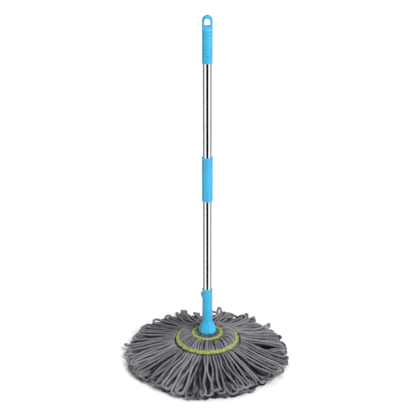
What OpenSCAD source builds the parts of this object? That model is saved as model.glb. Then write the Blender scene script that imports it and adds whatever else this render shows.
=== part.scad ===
// Self-wringing mop. A two-piece steel tube carries a hanging handle, a grip
// over the tube joint and a foot. A bell-ended sleeve slides up the lower tube
// and turns on it, which lifts and twists the looped yarn to wring it out.
// Millimetres. Z is up, z = 0 is the floor and the tube's axis is x = y = 0.

/* [Tube] */
// Height of the whole mop
total_h = 1200; // [1000:10:1400]
// Outer diameter of both tubes
tube_d = 28; // [24:0.5:34]
// Wall of both tubes
tube_wall = 0.6; // [0.5:0.1:1.2]
// Height of the joint between the two tubes
tube_joint_z = 663; // [620:1:740]

/* [Hanging handle] */
// Length of the handle
handle_len = 150; // [120:1:190]
// Wall of the handle around the tube
handle_wall = 2.3; // [1.8:0.1:4]
// Thickness of the flattened hanging end
hang_end_t = 21; // [16:0.5:26]
// Width of the hanging slot
hang_slot_w = 18; // [14:0.5:20]
// Length of the hanging slot
hang_slot_h = 24; // [21:0.5:30]
// Solid length between the tube's end and the hanging slot
hang_slot_rise = 18; // [14:1:24]
// How deep the tube goes into the handle
handle_socket = 99; // [60:1:99]
// Number of finger ribs on each face
rib_count = 8; // [4:1:9]
// Distance from one finger rib to the next
rib_pitch = 10.5; // [8:0.5:11]
// Height of a finger rib above the handle
rib_h = 1.1; // [0.4:0.1:1.2]

/* [Middle grip] */
// Length of the grip over the tube joint
grip_len = 150; // [110:1:180]
// Wall of the grip
grip_wall = 3.35; // [2.4:0.05:5]
// How far the grip's top lip stands out
grip_lip = 0.9; // [0.4:0.1:2]
// Depth of the plastic inserts in the tube ends
insert_len = 32; // [22:1:45]
// Diameter of the screwed joint
thread_d = 16; // [12:0.5:20]
// Pitch of the screwed joint
thread_pitch = 3; // [2:0.5:4]

/* [Wringing sleeve] */
// Height of the sleeve's mouth above the floor
sleeve_z = 105; // [90:1:125]
// Length of the sleeve
sleeve_len = 157; // [140:1:200]
// Wall of the sleeve around its bore
sleeve_wall = 1.5; // [1.4:0.1:3]
// How much the sleeve thickens towards its waist
waist_grow = 0.9; // [0.4:0.1:2]
// Outer diameter of the sleeve's mouth
mouth_d = 59.2; // [56:0.1:72]
// Height of the flared part
flare_h = 40; // [32:1:55]
// Wall of the flared mouth
mouth_wall = 2; // [1.5:0.1:3]
// Depth of the hollow inside the mouth
mouth_depth = 12; // [11.5:0.5:14]
// Number of ribs on the flare
flare_ribs = 12; // [6:1:18]
// How far a flare rib stands out
flare_rib_h = 0.9; // [0.4:0.1:1.4]
// Width of a flare rib
flare_rib_w = 2.4; // [1.5:0.1:4]
// Wall of the liner that slides on the tube
liner_wall = 1; // [0.8:0.1:1.6]
// Thickness of the liner's top flange
liner_flange = 2.8; // [2:0.1:5]
// Width of the ring that keeps the sleeve on the liner
retainer_w = 2.6; // [2:0.1:3]
// Running clearance between parts that slide or turn
run_gap = 0.08; // [0.03:0.01:0.1]

/* [Release lever] */
// Distance from the sleeve's top down to the lever's pin
lever_drop = 16; // [15:0.5:30]
// Distance from the sleeve's top surface out to the pin's axis
pin_out = 1.5; // [1.4:0.1:2.5]
// Diameter of the lever's pin
pin_d = 2; // [1.6:0.1:2.4]
// Width of the lever
lever_w = 8; // [7:0.5:10]
// How far the lever's pad stands out from the pin's axis
pad_out = 3.9; // [3.4:0.1:5]
// Twist of the sleeve each way, which the liner's window allows
twist = 120; // [60:5:130]

/* [Yarn head] */
// Outer diameter of the yarn head
head_d = 576; // [480:2:640]
// Thickness of the upper layer of yarn
yarn_t = 6; // [4:0.5:8]
// Thickness of the yarn that lies on the floor
floor_t = 4.5; // [3.5:0.5:6]
// Thickness that the yarn is clamped to in the foot
clamp_t = 3.5; // [2.5:0.5:3.5]
// Radius of the inner tape's middle
inner_tape_r = 48; // [44:1:60]
// Radius of the outer tape's middle
outer_tape_r = 102; // [85:1:125]
// Width of each tape
tape_w = 11; // [8:0.5:14]
// Thickness of each tape
tape_t = 1.2; // [0.8:0.1:2]

/* [Foot] */
// Clearance between the foot plate and the floor
plate_z = 1; // [0.5:0.5:2]
// Thickness of the foot plate
plate_t = 4; // [3.5:0.5:6]
// Diameter of the foot plate
plate_d = 66; // [64:1:90]
// Diameter of the foot socket's flange
foot_flange_d = 80; // [72:1:100]
// Thickness of the foot socket's flange
foot_flange_t = 3; // [2:0.5:5]
// Thickness of the floor under the tube's end
foot_floor = 7.5; // [5:0.5:12]
// Wall of the foot socket
foot_wall = 3; // [2:0.5:4]
// Number of gussets on the foot socket
gussets = 6; // [3:1:8]
// Diameter of the central screw
hub_screw_d = 6; // [5:0.5:8]
// Diameter of the small screws
small_screw_d = 3; // [2.5:0.5:3]

/* [Hidden] */
$fn = 96;
eps = 0.01;

plastic_blue = "#50c3fa";
steel = "#c8ccd0";
yarn_grey = "#88848a";
tape_green = "#a4cc4a";
nylon = "#e6e4dc";

tube_r = tube_d / 2;
tube_in = tube_r - tube_wall;
insert_flange = 2;

handle_z = total_h - handle_len;
handle_r = tube_r + handle_wall;
handle_base_grow = 0.35;
handle_base_h = 6;
tube_top_z = handle_z + handle_socket;
slot_r = hang_slot_w / 2;
slot_corner = 4;
slot_low_z = tube_top_z + hang_slot_rise;
slot_high_z = slot_low_z + hang_slot_h - slot_r;
rib_w = 20;
rib_high_z = tube_top_z + 8;

grip_z = tube_joint_z - grip_len / 2;
grip_r = tube_r + grip_wall;
grip_round = 3;
grip_lip_h = 4;

plate_top_z = plate_z + plate_t;
foot_bottom_z = plate_top_z + clamp_t;
tube_foot_z = foot_bottom_z + foot_floor;
foot_r = tube_r + foot_wall;
gusset_h = 18;
gusset_t = 2;
plate_boss_r = 24.5;
plate_screw_r = 20.8;
plate_screws_n = 4;
hub_screw_r = hub_screw_d / 2;
hub_head_r = hub_screw_d;
hub_head_h = 2.6;
washer_r = hub_screw_d + 3;
washer_t = 1.2;
hub_hole_r = hub_screw_r + 0.2;
plug_len = 28;
hub_thread = 22;

liner_in = tube_r + run_gap;
liner_out = liner_in + liner_wall;
bore_r = liner_out + run_gap;
collar_r = bore_r + sleeve_wall;
waist_r = collar_r + waist_grow;
bell_top_z = sleeve_z + sleeve_len;
flare_top_z = sleeve_z + flare_h;
web_z = sleeve_z + mouth_depth;
end_gap = 0.2;
liner_z = sleeve_z + 4;
liner_top_z = bell_top_z + end_gap + liner_flange;
liner_flange_r = collar_r + 0.65;
groove_d = 0.4;
retainer_h = 2.4;
retainer_z = web_z - end_gap - retainer_h;
flare_steps = 14;
soft_gap = 0.4;

ring_in = liner_out - groove_d + retainer_w + 0.6;
ring_out = ring_in + 4.2;
// The mouth stays wide enough for the ring and the yarn round it
mouth_r = max(mouth_d / 2, ring_out + 6.5);
ring_t = 2.8;
ring_z = web_z - 9;
ring_post_r = (ring_in + ring_out) / 2;
ring_screws_n = 4;
small_screw_r = small_screw_d / 2;
small_head_r = small_screw_r + 0.6;
small_head_h = 1.6;
ring_screw_len = 15;

lever_z = bell_top_z - lever_drop;
pivot_r = collar_r + pin_out;
pin_r = pin_d / 2;
barrel_r = pin_r + 1.4;
lever_gap = 0.2;
slot_half = lever_w / 2 + lever_gap;
ear_t = 2.2;
pad_low = -4;
pad_high = 9;
pad_in = 1.4;
arm_low = -11.5;
arm_out = 1.6;
shoe_low = -11;
shoe_high = -4.5;
shoe_w = 7;
shoe_gap = 0.2;
arm_in_r = liner_out + 0.7;
arm_in = arm_in_r - pivot_r;
pocket_r = pivot_r - barrel_r + 0.4;
spring_notch = 1.4;
spring_wire_r = 0.3;
spring_leg_r = spring_wire_r - 0.04;
spring_r = pin_r + 0.75;
spring_turns = 4;
window_low_z = lever_z + shoe_low - 1.5;
window_high_z = lever_z + shoe_high + 1.5;
window_half = twist + asin((shoe_w / 2) / liner_in) + 5;

head_r = head_d / 2;
split_r = outer_tape_r + tape_w / 2 + 2.5;
tape_lift = 0.1;
rim_r = 10;
plate_past = 0.5;
floor_past = 4;
// Crown of the yarn: share of the way out from the mouth, share of the mouth's height
CROWN = [
    [0, 0.994], [0.08, 0.94], [0.14, 0.92], [0.195, 0.88], [0.24, 0.81], [0.28, 0.745],
    [0.31, 0.705], [0.466, 0.575], [0.66, 0.44], [0.853, 0.325], [0.93, 0.285], [0.98, 0.23]
];

// Height of the yarn's upper surface at a radius
function crown_z(r) = sleeve_z * lookup((r - mouth_r) / (head_r - mouth_r), CROWN);

// Radii of the crown's own points between two radii, with both ends
function crown_radii(r1, r2) = concat(
    [r1],
    [for (p = CROWN) let (r = mouth_r + p[0] * (head_r - mouth_r)) if (r > r1 + 1 && r < r2 - 1) r],
    [r2]
);

function backwards(points) = [for (i = [len(points) - 1:-1:0]) points[i]];

function smooth(t) = t * t * (3 - 2 * t);

// Outer radius of the sleeve at a height
function sleeve_r(z) =
    z >= flare_top_z
        ? collar_r + waist_grow * (bell_top_z - z) / (bell_top_z - flare_top_z)
        : waist_r + (mouth_r - waist_r) * smooth((flare_top_z - z) / flare_h);

function flare_z(i) = flare_top_z - flare_h * i / flare_steps;

module tube_between(z1, z2, r_out, r_in) {
    translate([0, 0, z1])
        difference() {
            cylinder(r = r_out, h = z2 - z1);
            translate([0, 0, -eps])
                cylinder(r = r_in, h = z2 - z1 + 2 * eps);
        }
}

module around(count, r) {
    for (i = [0:count - 1])
        rotate([0, 0, (i + 0.5) * 360 / count])
            translate([r, 0, 0])
                children();
}

// A flat shape drawn as (outward, up) from the lever's pin, made w wide along Y
module at_pin(w) {
    translate([-pivot_r, 0, lever_z])
        rotate([90, 0, 180])
            linear_extrude(height = w, center = true)
                children();
}

module pan_screw(head_r, head_h, shank_r, length) {
    cylinder(r = head_r, h = head_h);
    translate([0, 0, head_h])
        cylinder(r = shank_r, h = length);
}

// ---- Handle, tubes and middle grip ----

module handle_front_outline() {
    arch_z = total_h - handle_r;
    translate([0, arch_z])
        circle(r = handle_r);
    translate([-handle_r - 1, handle_z])
        square([2 * handle_r + 2, arch_z - handle_z]);
}

module handle_side_outline() {
    shoulder_z = tube_top_z + 3;
    end_y = hang_end_t / 2;
    wide_y = handle_r + 2;
    slope_h = 14;
    polygon([
        [-wide_y, handle_z - 1], [wide_y, handle_z - 1], [wide_y, shoulder_z], [end_y, shoulder_z + slope_h],
        [end_y, total_h - 3], [end_y - 3, total_h + 1],
        [3 - end_y, total_h + 1], [-end_y, total_h - 3], [-end_y, shoulder_z + slope_h], [-wide_y, shoulder_z]
    ]);
}

module handle_barrel() {
    translate([0, 0, handle_z])
        cylinder(r = handle_r + handle_base_grow, h = handle_base_h);
    translate([0, 0, handle_z + handle_base_h])
        cylinder(r = handle_r, h = handle_len - handle_base_h);
}

module finger_ribs() {
    for (i = [0:rib_count - 1])
        intersection() {
            translate([0, 0, rib_high_z - 4 - i * rib_pitch])
                cylinder(r = handle_r + rib_h, h = rib_pitch * 0.45);
            translate([-rib_w / 2, -handle_r - 5, handle_z])
                cube([rib_w, 2 * handle_r + 10, handle_len]);
        }
}

module hanging_handle() {
    color(plastic_blue)
        difference() {
            union() {
                intersection() {
                    handle_barrel();
                    rotate([90, 0, 0])
                        linear_extrude(height = 4 * handle_r, center = true)
                            handle_front_outline();
                    rotate([90, 0, 90])
                        linear_extrude(height = 4 * handle_r, center = true)
                            handle_side_outline();
                }
                intersection() {
                    finger_ribs();
                    rotate([90, 0, 90])
                        linear_extrude(height = 4 * handle_r, center = true)
                            handle_side_outline();
                }
            }
            translate([0, 0, handle_z - eps])
                cylinder(r = tube_r, h = handle_socket + eps);
            rotate([90, 0, 0])
                linear_extrude(height = 4 * handle_r, center = true) {
                    translate([0, slot_high_z])
                        circle(r = slot_r);
                    for (side = [-1, 1])
                        translate([side * (slot_r - slot_corner), slot_low_z + slot_corner])
                            circle(r = slot_corner);
                    translate([-slot_r, slot_low_z + slot_corner])
                        square([hang_slot_w, slot_high_z - slot_low_z - slot_corner]);
                    translate([slot_corner - slot_r, slot_low_z])
                        square([hang_slot_w - 2 * slot_corner, 2 * slot_corner]);
                }
        }
}

module upper_tube() {
    color(steel)
        tube_between(tube_joint_z + insert_flange, tube_top_z, tube_r, tube_in);
}

module lower_tube() {
    color(steel)
        tube_between(tube_foot_z, tube_joint_z - insert_flange, tube_r, tube_in);
}

module thread_socket() {
    color(nylon)
        difference() {
            union() {
                translate([0, 0, tube_joint_z])
                    cylinder(r = tube_r, h = insert_flange);
                translate([0, 0, tube_joint_z + insert_flange])
                    cylinder(r = tube_in, h = insert_len);
            }
            translate([0, 0, tube_joint_z - eps])
                cylinder(r = thread_d / 2, h = insert_len + insert_flange + 2 * eps);
        }
}

module thread_stud() {
    ridges = floor((insert_len - 4) / thread_pitch);
    color(nylon) {
        translate([0, 0, tube_joint_z - insert_flange - insert_len])
            cylinder(r = tube_in, h = insert_len);
        translate([0, 0, tube_joint_z - insert_flange])
            cylinder(r = tube_r, h = insert_flange);
        translate([0, 0, tube_joint_z])
            cylinder(r = thread_d / 2 - 1, h = ridges * thread_pitch + 1);
        for (i = [0:ridges - 1])
            translate([0, 0, tube_joint_z + 1 + i * thread_pitch])
                cylinder(r = thread_d / 2, h = thread_pitch / 2);
    }
}

module middle_grip() {
    top_z = grip_z + grip_len;
    lip_r = grip_r + grip_lip;
    color(plastic_blue)
        rotate_extrude()
            difference() {
                union() {
                    translate([tube_r, grip_z + grip_round])
                        square([grip_wall, grip_len - grip_round]);
                    translate([tube_r, grip_z])
                        square([grip_wall - grip_round, grip_round + eps]);
                    intersection() {
                        translate([grip_r - grip_round, grip_z + grip_round])
                            circle(r = grip_round);
                        translate([tube_r, grip_z])
                            square([grip_wall, grip_len]);
                    }
                    polygon([
                        [grip_r - 1, top_z - grip_lip_h], [grip_r, top_z - grip_lip_h], [lip_r, top_z - 2],
                        [lip_r, top_z - 1], [lip_r - 1, top_z], [grip_r - 1, top_z]
                    ]);
                }
                square([tube_r, total_h]);
            }
}

// ---- Foot ----

module foot_socket() {
    color(plastic_blue)
        difference() {
            union() {
                translate([0, 0, foot_bottom_z])
                    cylinder(r = foot_flange_d / 2, h = foot_flange_t);
                translate([0, 0, foot_bottom_z])
                    cylinder(r = foot_r, h = liner_z - end_gap - foot_bottom_z);
                for (i = [0:gussets - 1])
                    rotate([90, 0, i * 360 / gussets])
                        linear_extrude(height = gusset_t, center = true)
                            polygon([
                                [foot_r - 1, foot_bottom_z + 1], [foot_flange_d / 2 - 3, foot_bottom_z + 1],
                                [foot_flange_d / 2 - 3, foot_bottom_z + foot_flange_t + 1],
                                [foot_r, foot_bottom_z + foot_flange_t + gusset_h],
                                [foot_r - 1, foot_bottom_z + foot_flange_t + gusset_h]
                            ]);
            }
            translate([0, 0, tube_foot_z])
                cylinder(r = tube_r, h = total_h);
            translate([0, 0, foot_bottom_z - eps])
                cylinder(r = hub_hole_r, h = foot_floor + 2 * eps);
            around(plate_screws_n, plate_screw_r)
                translate([0, 0, foot_bottom_z - eps])
                    cylinder(r = small_screw_r, h = foot_flange_t + 2 * eps);
        }
}

module foot_plug() {
    color(nylon)
        tube_between(tube_foot_z, tube_foot_z + plug_len, tube_in, hub_screw_r);
}

module foot_plate() {
    color(plastic_blue)
        difference() {
            union() {
                translate([0, 0, plate_z])
                    cylinder(r = plate_d / 2, h = plate_t);
                translate([0, 0, plate_z])
                    cylinder(r = plate_boss_r, h = plate_t + clamp_t);
            }
            translate([0, 0, plate_z - eps])
                cylinder(r = washer_r + 0.5, h = plate_t + eps);
            cylinder(r = hub_hole_r, h = foot_bottom_z + eps);
            around(plate_screws_n, plate_screw_r) {
                cylinder(r = small_screw_r + 0.1, h = foot_bottom_z + eps);
                translate([0, 0, plate_z - eps])
                    cylinder(r = small_head_r + 0.3, h = small_head_h + 0.3 + eps);
            }
        }
}

module plate_screws() {
    head_z = plate_z + 0.3;
    color(steel)
        around(plate_screws_n, plate_screw_r)
            translate([0, 0, head_z])
                pan_screw(small_head_r, small_head_h, small_screw_r,
                    foot_bottom_z + foot_flange_t - head_z - small_head_h);
}

module hub_screw() {
    head_z = plate_z + plate_t - washer_t - hub_head_h;
    color(steel)
        translate([0, 0, head_z])
            pan_screw(hub_head_r, hub_head_h, hub_screw_r, tube_foot_z + hub_thread - head_z - hub_head_h);
}

module hub_washer() {
    color(steel)
        tube_between(plate_z + plate_t - washer_t, plate_z + plate_t, washer_r, hub_hole_r);
}

// ---- Yarn and tapes ----

module yarn_skirt() {
    radii = crown_radii(split_r + soft_gap, mouth_r + 0.98 * (head_r - mouth_r));
    inner_radii = crown_radii(split_r + soft_gap, mouth_r + 0.93 * (head_r - mouth_r));
    clamp_r = plate_boss_r + soft_gap;
    color(yarn_grey)
        rotate_extrude()
            polygon(concat(
                [for (r = radii) [r, crown_z(r)]],
                [for (a = [60:-30:-90]) [head_r - rim_r + rim_r * cos(a), rim_r + rim_r * sin(a)]],
                [
                    [plate_d / 2 + floor_past, 0], [plate_d / 2 + plate_past, plate_top_z],
                    [clamp_r, plate_top_z], [clamp_r, foot_bottom_z],
                    [plate_d / 2 + floor_past, foot_bottom_z], [plate_d / 2 + 2 * floor_past, floor_t],
                    [mouth_r + 0.95 * (head_r - mouth_r), floor_t]
                ],
                [for (r = backwards(inner_radii)) [r, crown_z(r) - yarn_t]]
            ));
}

module yarn_neck() {
    root_in = ring_out + soft_gap;
    root_z = web_z - soft_gap;
    lip_r = mouth_r - mouth_wall - 2 * soft_gap;
    under_z = sleeve_z - 0.6;
    radii = crown_radii(mouth_r + 1.5, split_r);
    color(yarn_grey)
        rotate_extrude()
            polygon(concat(
                [
                    [root_in, root_z], [sleeve_r(web_z) - mouth_wall - soft_gap, root_z],
                    [lip_r, sleeve_z + 2], [lip_r, under_z]
                ],
                [for (r = radii) [r, min(crown_z(r), under_z)]],
                [for (r = backwards(radii)) [r, crown_z(r) - yarn_t]],
                [[root_in, crown_z(mouth_r) - yarn_t]]
            ));
}

module tape(r) {
    r1 = r - tape_w / 2;
    r2 = r + tape_w / 2;
    radii = crown_radii(r1, r2);
    color(tape_green)
        rotate_extrude()
            polygon(concat(
                [for (x = radii) [x, crown_z(x) + tape_lift + tape_t]],
                [for (x = backwards(radii)) [x, crown_z(x) + tape_lift]]
            ));
}

module inner_tape() {
    tape(inner_tape_r);
}

module outer_tape() {
    tape(outer_tape_r);
}

// ---- Wringing sleeve ----

module slide_liner() {
    color(plastic_blue)
        difference() {
            union() {
                tube_between(liner_z, liner_top_z, liner_out, liner_in);
                tube_between(bell_top_z + end_gap, liner_top_z, liner_flange_r, liner_in);
            }
            tube_between(retainer_z, retainer_z + retainer_h, liner_out + 1, liner_out - groove_d);
            translate([0, 0, window_low_z])
                rotate([0, 0, 180 - window_half])
                    rotate_extrude(angle = 2 * window_half)
                        translate([liner_in - 1, 0])
                            square([liner_wall + 2, window_high_z - window_low_z]);
        }
}

module liner_retainer() {
    inner = liner_out - groove_d;
    color(steel)
        tube_between(retainer_z, retainer_z + retainer_h, inner + retainer_w, inner);
}

module sleeve_profile() {
    flare = [for (i = [0:flare_steps]) [sleeve_r(flare_z(i)), flare_z(i)]];
    polygon(concat(
        [[bore_r, bell_top_z], [collar_r - 0.5, bell_top_z], [collar_r, bell_top_z - 0.5]],
        flare,
        [
            [mouth_r - mouth_wall, sleeve_z], [sleeve_r(web_z) - mouth_wall, web_z],
            [bore_r, web_z]
        ]
    ));
}

module flare_rib() {
    outer = [
        for (i = [0:flare_steps])
            let (share = i / flare_steps)
                [sleeve_r(flare_z(i)) + flare_rib_h * min(1, 4 * share, 6 * (1 - share)), flare_z(i)]
    ];
    inner = [for (i = [0:flare_steps]) [sleeve_r(flare_z(i)) - mouth_wall / 2, flare_z(i)]];
    rotate([90, 0, 0])
        linear_extrude(height = flare_rib_w, center = true)
            polygon(concat(outer, backwards(inner)));
}

module ear_outline() {
    root = bore_r - 0.1 - pivot_r;
    circle(r = barrel_r + 0.2);
    polygon([[0, -barrel_r], [root, -barrel_r - 2.4], [root, barrel_r + 2.4], [0, barrel_r]]);
}

module lever_cuts() {
    through = [-pivot_r - 10, -slot_half, lever_z + arm_low - 2];
    translate(through)
        cube([pivot_r, 2 * slot_half, barrel_r + 0.4 - arm_low + 2]);
    translate([-pivot_r - 10, -slot_half, lever_z])
        cube([pivot_r + 10 - pocket_r, 2 * slot_half, pad_high + 3]);
}

module bell_sleeve() {
    color(plastic_blue)
        difference() {
            union() {
                rotate_extrude()
                    sleeve_profile();
                for (i = [0:flare_ribs - 1])
                    rotate([0, 0, (i + 0.5) * 360 / flare_ribs])
                        flare_rib();
                for (side = [-1, 1])
                    translate([0, side * (slot_half + ear_t / 2), 0])
                        at_pin(ear_t)
                            ear_outline();
            }
            lever_cuts();
            at_pin(4 * lever_w)
                circle(r = pin_r);
            around(ring_screws_n, ring_post_r)
                translate([0, 0, web_z - eps])
                    cylinder(r = small_screw_r, h = ring_screw_len - (web_z - ring_z) + eps);
        }
}

module upper_yarn_ring() {
    color(plastic_blue)
        difference() {
            tube_between(ring_z, ring_z + ring_t, ring_out, ring_in);
            around(ring_screws_n, ring_post_r)
                translate([0, 0, ring_z - eps])
                    cylinder(r = small_screw_r + 0.1, h = ring_t + 2 * eps);
        }
}

module ring_screws() {
    color(steel)
        around(ring_screws_n, ring_post_r)
            translate([0, 0, ring_z - small_head_h])
                pan_screw(small_head_r, small_head_h, small_screw_r, ring_screw_len);
}

// ---- Release lever ----

module lever_pin() {
    length = 2 * (slot_half + ear_t);
    color(steel) {
        at_pin(length)
            circle(r = pin_r);
        translate([0, -length / 2 - 0.3, 0])
            at_pin(0.6)
                circle(r = pin_r + 0.6);
    }
}

module lever_spring() {
    pitch = 2 * spring_wire_r + 0.03;
    first = -pitch * (spring_turns - 1) / 2;
    color(steel)
        translate([-pivot_r, 0, lever_z]) {
            for (i = [0:spring_turns - 1])
                translate([0, first + i * pitch, 0])
                    rotate([90, 0, 0])
                        rotate_extrude($fn = 64)
                            translate([spring_r, 0])
                                circle(r = spring_wire_r, $fn = 32);
            translate([spring_r, first, 0])
                cylinder(r = spring_leg_r, h = pad_high - 1);
            translate([-spring_r, -first, 0])
                cylinder(r = spring_leg_r, h = pad_high - 3);
        }
}

module release_lever() {
    notch_out = spring_r + spring_wire_r + 0.1;
    color(plastic_blue)
        difference() {
            at_pin(lever_w) {
                circle(r = barrel_r);
                polygon([
                    [pad_out - 0.9, pad_low], [pad_out, pad_low + 1], [pad_out, pad_high - 1],
                    [pad_out - 0.9, pad_high], [pad_in, pad_high], [pad_in, 0], [0, 0], [0, pad_low]
                ]);
                polygon([
                    [arm_out, 0], [arm_in, 0], [arm_in, arm_low], [arm_out - 0.8, arm_low],
                    [arm_out, arm_low + 0.8]
                ]);
            }
            at_pin(lever_w + 1)
                circle(r = pin_r + 0.05);
            at_pin(2 * spring_notch)
                polygon([
                    [notch_out, -barrel_r], [notch_out, pad_high + 1],
                    [-barrel_r - 1, pad_high + 1], [-barrel_r - 1, -barrel_r]
                ]);
        }
}

module brake_shoe() {
    color("#303236")
        difference() {
            at_pin(shoe_w)
                polygon([
                    [arm_in, shoe_low], [arm_in, shoe_high],
                    [tube_r - 1 - pivot_r, shoe_high], [tube_r - 1 - pivot_r, shoe_low]
                ]);
            cylinder(r = tube_r + shoe_gap, h = total_h);
        }
}

hanging_handle();
upper_tube();
thread_socket();
thread_stud();
middle_grip();
lower_tube();
foot_socket();
foot_plug();
foot_plate();
plate_screws();
hub_screw();
hub_washer();
yarn_skirt();
slide_liner();
liner_retainer();
yarn_neck();
inner_tape();
outer_tape();
bell_sleeve();
upper_yarn_ring();
ring_screws();
lever_pin();
lever_spring();
release_lever();
brake_shoe();
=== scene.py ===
"""A self-wringing mop: a steel pole with a blue hanging handle, middle grip and wringing sleeve,
and a round head of looped microfibre cord bound by two green tapes.

Everything is in metres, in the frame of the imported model, and its places are worked out from that
model's nodes. The cords are swept by Geometry Nodes along paths that the script lays out one by one.
"""

import math
import random
from types import SimpleNamespace

import bmesh
import bpy
import numpy as np
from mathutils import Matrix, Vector


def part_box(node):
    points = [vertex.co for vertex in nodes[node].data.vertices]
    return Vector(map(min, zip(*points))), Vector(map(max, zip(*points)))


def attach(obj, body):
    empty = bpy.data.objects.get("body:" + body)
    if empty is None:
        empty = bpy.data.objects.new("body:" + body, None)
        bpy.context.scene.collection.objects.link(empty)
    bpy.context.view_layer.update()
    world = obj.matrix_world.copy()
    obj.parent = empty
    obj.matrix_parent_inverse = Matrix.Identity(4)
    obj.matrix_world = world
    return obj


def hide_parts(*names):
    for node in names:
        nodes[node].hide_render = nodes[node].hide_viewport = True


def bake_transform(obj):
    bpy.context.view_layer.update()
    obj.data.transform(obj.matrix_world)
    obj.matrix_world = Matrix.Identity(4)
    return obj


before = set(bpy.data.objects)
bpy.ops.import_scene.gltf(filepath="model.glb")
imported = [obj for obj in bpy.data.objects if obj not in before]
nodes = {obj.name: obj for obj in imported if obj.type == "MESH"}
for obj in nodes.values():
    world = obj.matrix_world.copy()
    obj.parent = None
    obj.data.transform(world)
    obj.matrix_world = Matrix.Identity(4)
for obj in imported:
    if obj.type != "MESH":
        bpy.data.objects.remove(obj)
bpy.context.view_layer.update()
MM = 0.001
TAU = 2 * math.pi


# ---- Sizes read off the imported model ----

def reach(name):
    """How far a node reaches from the pole's axis."""
    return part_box(name)[1].x


def low(name):
    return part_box(name)[0].z


def high(name):
    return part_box(name)[1].z


def surface_from(name, origin, direction):
    """Where a ray meets a node's surface, or None."""
    found, place, _, _ = nodes[name].ray_cast(Vector(origin), Vector(direction))
    return place if found else None


def outer_radius(name, z):
    """Radius of a node at a height, on the +X side."""
    return surface_from(name, (1, 0, z), (-1, 0, 0)).x


def crown_points():
    """Radius and height of the yarn's upper surface, from the sleeve's mouth to the rim."""
    off_seam = 0.1 * MM
    points = []
    for step in range(int(reach("bell_sleeve") / MM) + 2, int(reach("yarn_skirt") / MM)):
        r = step * MM
        hits = [surface_from(n, (r, off_seam, 1), (0, 0, -1)) for n in ("yarn_neck", "yarn_skirt")]
        tops = [hit.z for hit in hits if hit]
        if tops:
            points.append((r, max(tops)))
    return np.array(points)


CROWN = crown_points()
TUBE_R = reach("lower_tube")
HEAD_R = reach("yarn_skirt")
MOUTH_Z = low("bell_sleeve")
MOUTH_R = outer_radius("bell_sleeve", MOUTH_Z + 0.1 * MM)
SLEEVE_TOP = high("bell_sleeve")
TAPE_W = 11 * MM
INNER_TAPE_R = reach("inner_tape") - TAPE_W / 2
OUTER_TAPE_R = reach("outer_tape") - TAPE_W / 2
CORD_R = 3.7 * MM


def crown_z(r):
    """Height of the yarn's upper surface at a radius."""
    return float(np.interp(r, CROWN[:, 0], CROWN[:, 1]))


def smooth(t):
    t = min(max(t, 0.0), 1.0)
    return t * t * (3 - 2 * t)


def between(t, a, b):
    """How far t is on the way from a to b, from 0 to 1, eased at both ends."""
    return smooth((t - a) / (b - a))


# ---- Node trees ----

def linear(hex_colour):
    """An sRGB hex colour as linear RGBA."""
    parts = [int(hex_colour[i:i + 2], 16) / 255 for i in (1, 3, 5)]
    return tuple(c / 12.92 if c <= 0.04045 else ((c + 0.055) / 1.055) ** 2.4 for c in parts) + (1.0,)


def connect(tree, node, inputs):
    """Sets a node's inputs; each is a value or the output that feeds it."""
    for key, value in inputs.items():
        socket = node.inputs[key]
        if isinstance(value, bpy.types.NodeSocket):
            tree.links.new(value, socket)
        else:
            socket.default_value = value


def add_node(tree, kind, inputs=None, **settings):
    """Adds a node with its settings and links."""
    node = tree.nodes.new(kind)
    for name, value in settings.items():
        setattr(node, name, value)
    connect(tree, node, inputs or {})
    return node


def new_material(name):
    """A material with one Principled shader; returns the material, its node tree and the shader."""
    material = bpy.data.materials.new(name)
    material.use_nodes = True
    tree = material.node_tree
    return material, tree, next(n for n in tree.nodes if n.type == "BSDF_PRINCIPLED")


# ---- Materials ----

# Most of a noise texture's values lie in this range
NOISE_RANGE = {"From Min": 0.3, "From Max": 0.7}
# A Mix node's colour sockets
DARK, LIGHT, MIXED = 6, 7, 2


def moulded_polypropylene():
    """Injection-moulded polypropylene: a waxy satin gloss, with flow marks about 42 mm long. Its
    spark-eroded grain of under 0.1 mm can't show, so it is drawn 0.7 mm wide."""
    material, tree, shader = new_material("moulded_polypropylene")
    place = add_node(tree, "ShaderNodeTexCoord").outputs["Object"]
    flow = add_node(tree, "ShaderNodeTexNoise", {"Vector": place, "Scale": 1 / (42 * MM)})
    grain = add_node(tree, "ShaderNodeTexNoise", {"Vector": place, "Scale": 1 / (0.7 * MM), "Detail": 1.0})
    share = add_node(tree, "ShaderNodeMapRange", {"Value": flow.outputs["Fac"], **NOISE_RANGE})
    tone = add_node(tree, "ShaderNodeMix", {
        "Factor": share.outputs["Result"], DARK: linear("#30AEDC"), LIGHT: linear("#3ABAE8")
    }, data_type="RGBA")
    gloss = add_node(tree, "ShaderNodeMapRange", {
        "Value": grain.outputs["Fac"], **NOISE_RANGE, "To Min": 0.29, "To Max": 0.42
    })
    relief = add_node(tree, "ShaderNodeBump", {
        "Height": grain.outputs["Fac"], "Strength": 0.12, "Distance": 0.05 * MM
    })
    connect(tree, shader, {
        "IOR": 1.49, "Subsurface Weight": 0.06, "Subsurface Scale": 1.5 * MM,
        "Base Color": tone.outputs[MIXED], "Roughness": gloss.outputs["Result"],
        "Normal": relief.outputs["Normal"]
    })
    return material


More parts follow.
